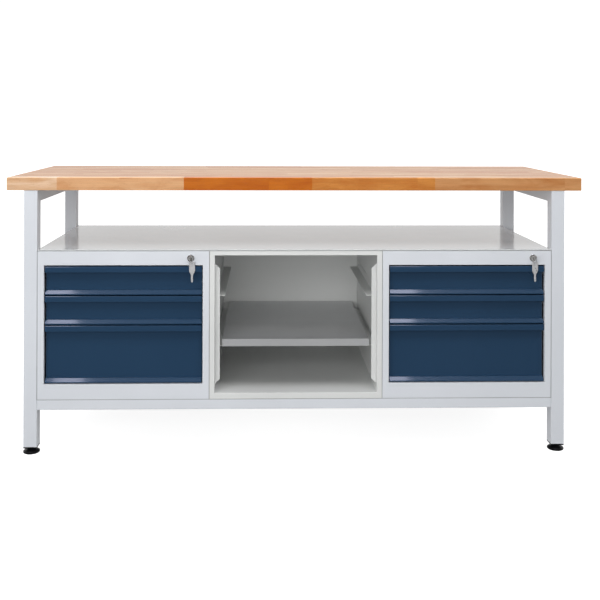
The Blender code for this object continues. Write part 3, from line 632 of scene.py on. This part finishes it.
def foot_thread(corner):
    """The thread on the stem of a levelling foot, one ridge in a helix."""
    low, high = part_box("levelling_foot_" + corner)
    centre = (low + high) / 2
    pitch, ridge, steps_per_turn = 1.5 * MM, 0.35 * MM, 20
    radius = STEM_RADIUS - 0.1 * MM  # the ridge is partly sunk in the stem
    start, top = low.z + 16.5 * MM, high.z - pitch
    turns = int((top - start) / pitch)
    bm = bmesh.new()
    path = []
    for i in range(turns * steps_per_turn + 1):
        turn = 2 * math.pi * i / steps_per_turn
        around = Vector((radius * math.cos(turn), radius * math.sin(turn), 0))
        path.append(Vector((centre.x, centre.y, start + pitch * i / steps_per_turn)) + around)
    sweep(bm, path, [ridge] * len(path), 4)
    make_piece("foot_thread_" + corner, bm, ZINC, "foot_" + corner, 20)


def lock_nut(cabinet):
    """The flat nut that holds the lock case behind the front of the cabinet."""
    low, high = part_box(cabinet + "_lock_case")
    centre = (low + high) / 2
    bore, across, thick, chamfer = 9.6 * MM, 12.7 * MM, 3 * MM, (0.7 * MM, 0.4 * MM)
    inside = FRONT + SHEET + 0.1 * MM
    bm = bmesh.new()
    outside = [(across, 0), (across, thick - chamfer[1]), (across - chamfer[0], thick)]
    profile = [(bore, 0), *outside, (bore, thick), (bore, 0)]
    lathe(bm, profile, facing((centre.x, inside, centre.z), (0, 1, 0)), 6)
    make_piece(cabinet + "_lock_nut", bm, ZINC)


def lock_rim(cabinet):
    """A turned step round the face of the lock case."""
    low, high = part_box(cabinet + "_lock_case")
    centre = (low + high) / 2
    radius = (high.x - low.x) / 2 - 1.6 * MM
    upright = Matrix.Translation((centre.x, low.y, centre.z)) @ Matrix.Rotation(math.pi / 2, 4, "X")
    path = circle_points(radius, 40, upright)
    bm = bmesh.new()
    sweep(bm, path, [0.45 * MM] * len(path), 8, closed=True)
    make_piece(cabinet + "_lock_rim", bm, NICKEL)


def key_outline(tip):
    """The spare key's edge as (across, down) in millimetres, down from the lock's axis; the tip is lowest."""
    shank_end = (3.0, 69.0)
    right_side = [(5.4, 10.0), (7.6, 11.2), (8.6, 14.0), (8.6, 37.5), (7.4, 41.0), (4.0, 48.0), (3.0, 50.5)]
    cuts = [(3.0, 53.0), (1.9, 54.2), (3.0, 55.8), (2.3, 57.4), (2.3, 58.6), (3.0, 60.0)]
    cuts += [(1.7, 61.6), (3.0, 63.2), (3.0, 64.6), (2.1, 66.0), (3.0, 67.4), (2.9, 69.0)]
    left_side = [(-across, down) for across, down in right_side + [shank_end]]
    return right_side + cuts + [(0.0, tip)] + left_side[::-1]


def key_plate(cabinet, place, tip):
    """The flat metal of the spare key, with its two holes, as a bmesh; its outline starts from the place."""
    holes = [(0.0, 15.6, 2.4), (0.0, 22.5, 1.1)]  # across, down, radius, in millimetres
    shapes = [key_outline(tip)]
    for across, down, radius in holes:
        ring = circle_points(radius, 20, Matrix.Translation((across, down, 0)))
        shapes.append([(point.x, point.y) for point in ring])
    curve = bpy.data.curves.new(cabinet + "_spare_key", "CURVE")
    curve.dimensions = "2D"
    curve.fill_mode = "BOTH"
    curve.extrude = 0.55 * MM
    curve.bevel_depth = 0.25 * MM
    curve.bevel_resolution = 1
    for shape in shapes:
        spline = curve.splines.new("POLY")
        spline.points.add(len(shape) - 1)
        for point, (across, down) in zip(spline.points, shape):
            point.co = (across * MM, -down * MM, 0.0, 1.0)
        spline.use_cyclic_u = True
    flat = bpy.data.objects.new(curve.name + "_outline", curve)
    bpy.context.scene.collection.objects.link(flat)
    bpy.context.view_layer.update()
    mesh = bpy.data.meshes.new_from_object(flat.evaluated_get(bpy.context.evaluated_depsgraph_get()))
    bpy.data.objects.remove(flat)
    mesh.transform(Matrix.Translation(place) @ Matrix.Rotation(math.pi / 2, 4, "X"))
    bm = bmesh.new()
    bm.from_mesh(mesh)
    bmesh.ops.remove_doubles(bm, verts=bm.verts, dist=MERGE_DISTANCE)
    return bm


def key_wire(bm, lock, lean):
    """The closed wire: across the key's neck at its top, turned fore and aft through the spare key's hole."""
    top, bottom, half_width, fore_and_aft = 4.7 * MM, -14.0 * MM, 7.4 * MM, 1.55 * MM
    narrowing, wire_radius, steps = 0.45, 0.75 * MM, 48
    path = []
    for k in range(steps):
        turn = 2 * math.pi * k / steps
        z = (top + bottom) / 2 + (top - bottom) / 2 * math.sin(turn)
        down = max(0.0, (top - z) / (top - bottom))
        twist = math.pi / 2 * down**1.5
        across = half_width * math.cos(turn) * (1.0 - narrowing * down)
        x = lock.x + lean * down**2 + across * math.cos(twist)
        y = lock.y + fore_and_aft * max(-1.0, min(1.0, 3 * math.cos(turn))) * math.sin(twist)
        path.append(Vector((x, y, lock.z + z)))
    sweep(bm, path, [wire_radius] * len(path), 8, closed=True)


def spare_key(cabinet):
    """The spare key, with its cuts and the wire that hangs it on the key in the lock."""
    node = cabinet + "_spare_key_and_ring"
    case_low, case_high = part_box(cabinet + "_lock_case")
    low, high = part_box(node)
    lock = (case_low + case_high) / 2
    lock.y = (low.y + high.y) / 2
    lean = 4.5 * MM  # the spare key hangs a little to the right of the lock
    bm = key_plate(cabinet, lock + Vector((lean, 0, 0)), (lock.z - low.z) / MM)
    key_wire(bm, lock, lean)
    piece = make_piece(cabinet + "_spare_key_on_wire", bm, KEY_METAL, cabinet + "_spare_key")
    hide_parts(node)


frame_welds()
worktop_screws()
centre_rivets()
for module in ("left", "centre", "right"):
    back_panel_rivets(module)
for cabinet in CABINETS:
    channel_rivets(cabinet)
    lock_nut(cabinet)
    lock_rim(cabinet)
    spare_key(cabinet)
    for drawer in DRAWERS:
        drawer_trim(cabinet, drawer)
for corner in CORNERS:
    foot_thread(corner)


# ---------------------------------------------------------------------------
# Stage: floor, light and camera
# ---------------------------------------------------------------------------


def studio_floor():
    """A white floor that bounces no light and shows in no reflection."""
    size = 60.0
    bm = bmesh.new()
    corners = [(-size, -size, 0), (size, -size, 0), (size, size, 0), (-size, size, 0)]
    bm.faces.new([bm.verts.new(corner) for corner in corners])
    mesh = bpy.data.meshes.new("studio_floor")
    bm.to_mesh(mesh)
    bm.free()
    floor = bpy.data.objects.new("studio_floor", mesh)
    floor.location.z = -0.2 * MM  # just under the feet
    bpy.context.scene.collection.objects.link(floor)
    s = Shader("studio_floor", Roughness=0.9, Specular_IOR_Level=0.1)
    s.put(s.surface, {"Base Color": s.mix(s.noise(2.0), rgb(0.80, 0.80, 0.80), rgb(0.82, 0.82, 0.82))})
    s.put(s.surface, {"Emission Color": rgb(1.0, 1.0, 1.0), "Emission Strength": 0.75})
    mesh.materials.append(s.material)
    floor.visible_diffuse = False
    floor.visible_glossy = False


def studio_world():
    """White to the camera. As light it is brightest just above level; mirrored, the front is dark."""
    world = bpy.data.worlds.new("studio")
    bpy.context.scene.world = world
    world.use_nodes = True
    tree = world.node_tree
    tree.nodes.clear()
    add, link = tree.nodes.new, tree.links.new

    def ramp_of(socket, *stops):
        """Strength along one direction of the sky, from stops (direction from -1 to 1, strength)."""
        place = add("ShaderNodeMapRange")
        place.inputs["From Min"].default_value = -1.0
        link(socket, place.inputs["Value"])
        node = add("ShaderNodeValToRGB")
        link(place.outputs[0], node.inputs[0])
        elements = node.color_ramp.elements
        for element, (position, strength) in zip(elements, (stops[0], stops[-1])):
            element.position, element.color = (position + 1) / 2, (strength, strength, strength, 1.0)
        for position, strength in stops[1:-1]:
            elements.new((position + 1) / 2).color = (strength, strength, strength, 1.0)
        return node.outputs[0]

    def chosen(is_ray, otherwise, then):
        """One strength for rays of the kind named, another for the rest."""
        node = add("ShaderNodeMix")
        link(ray.outputs[is_ray], node.inputs[0])
        link(otherwise, node.inputs[2])
        if isinstance(then, float):
            node.inputs[3].default_value = then
        else:
            link(then, node.inputs[3])
        return node.outputs[0]

    ray = add("ShaderNodeLightPath")
    split = add("ShaderNodeSeparateXYZ")
    link(add("ShaderNodeTexCoord").outputs["Generated"], split.inputs[0])
    diffuse = add("ShaderNodeMath")
    diffuse.operation = "MULTIPLY"
    link(ramp_of(split.outputs[1], *SKY_FRONT_TO_BACK), diffuse.inputs[0])
    link(ramp_of(split.outputs[2], *SKY_DOWN_TO_UP), diffuse.inputs[1])
    mirrored = ramp_of(split.outputs[1], *MIRRORED_FRONT_TO_BACK)
    strength = chosen("Is Camera Ray", chosen("Is Glossy Ray", diffuse.outputs[0], mirrored), 1.05)
    background = add("ShaderNodeBackground")
    background.inputs["Color"].default_value = (1.0, 1.0, 1.0, 1.0)
    link(strength, background.inputs["Strength"])
    link(background.outputs[0], add("ShaderNodeOutputWorld").inputs[0])


def softbox(name, place, aim, width, height, power, colour=(1.0, 1.0, 1.0), mirrored=True):
    """A rectangular light at a place, turned to its aim."""
    light = bpy.data.lights.new(name, "AREA")
    light.shape = "RECTANGLE"
    light.size, light.size_y = width, height
    light.energy = power
    light.color = colour
    obj = bpy.data.objects.new(name, light)
    obj.location = place
    obj.rotation_euler = (Vector(aim) - Vector(place)).to_track_quat("-Z", "Y").to_euler()
    obj.visible_glossy = mirrored
    bpy.context.scene.collection.objects.link(obj)


def studio_camera():
    """A level camera in front of the bench, left of its middle and a little above the worktop."""
    data = bpy.data.cameras.new("camera")
    data.sensor_width = 36.0
    data.lens = 52.43
    data.shift_x = 0.0219
    data.shift_y = -0.3093
    data.clip_end = 200.0
    camera = bpy.data.objects.new("camera", data)
    camera.location = (-0.0969, FRONT - 2.6576, 1.0285)
    yaw, roll = math.radians(1.446), math.radians(0.178)
    level = Matrix.Rotation(-yaw, 3, "Z") @ Matrix.Rotation(math.pi / 2, 3, "X")
    camera.rotation_euler = (level @ Matrix.Rotation(roll, 3, "Z")).to_euler()
    bpy.context.scene.collection.objects.link(camera)
    bpy.context.scene.camera = camera


# strength of the sky along one direction, as (direction from -1 to 1, strength)
SKY_FRONT_TO_BACK = ((-1.0, 0.44), (-0.6, 0.44), (-0.1, 0.95), (0.4, 0.80), (1.0, 0.80))
SKY_DOWN_TO_UP = ((-1.0, 0.12), (-0.35, 0.16), (-0.05, 1.3), (0.10, 1.6), (0.3, 0.9), (1.0, 0.90))
MIRRORED_FRONT_TO_BACK = ((-1.0, 0.03), (-0.25, 0.06), (0.3, 0.75), (1.0, 0.80))

studio_floor()
studio_world()
SOFTBOXES = (  # name, place, aim, width, height, power
    ("key_softbox", (-1.0, -4.6, 2.0), (0.0, FRONT, 0.5), 3.6, 1.0, 42.0),
    ("level_softbox", (-0.8, -3.1, 0.90), (0.0, FRONT, 0.70), 4.0, 0.3, 38.0),
    ("top_softbox", (0.0, -1.4, 2.5), (0.0, FRONT, 0.8), 3.2, 0.8, 26.0),
)
for measures in SOFTBOXES:
    softbox(*measures, mirrored=False)
# narrow lights above the fronts, seen mirrored near the left end of each cabinet's lower bands
STRIP_BLUE, STRIP_AHEAD, STRIP_HEIGHT = (0.82, 0.82, 1.0), 0.52, 2.5
MIRROR_SPREAD, MIRROR_SHIFT = 1.75, 0.07  # from a highlight's x to the x of its light
for cabinet in CABINETS:
    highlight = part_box(cabinet + "_cabinet_body")[0].x + 0.06
    x, y = MIRROR_SPREAD * highlight + MIRROR_SHIFT, FRONT - STRIP_AHEAD
    softbox(cabinet + "_strip", (x, y, STRIP_HEIGHT), (x, y, 0.0), 0.17, 0.75, 2.4, colour=STRIP_BLUE)
studio_camera()
bpy.context.scene.view_settings.view_transform = "Standard"
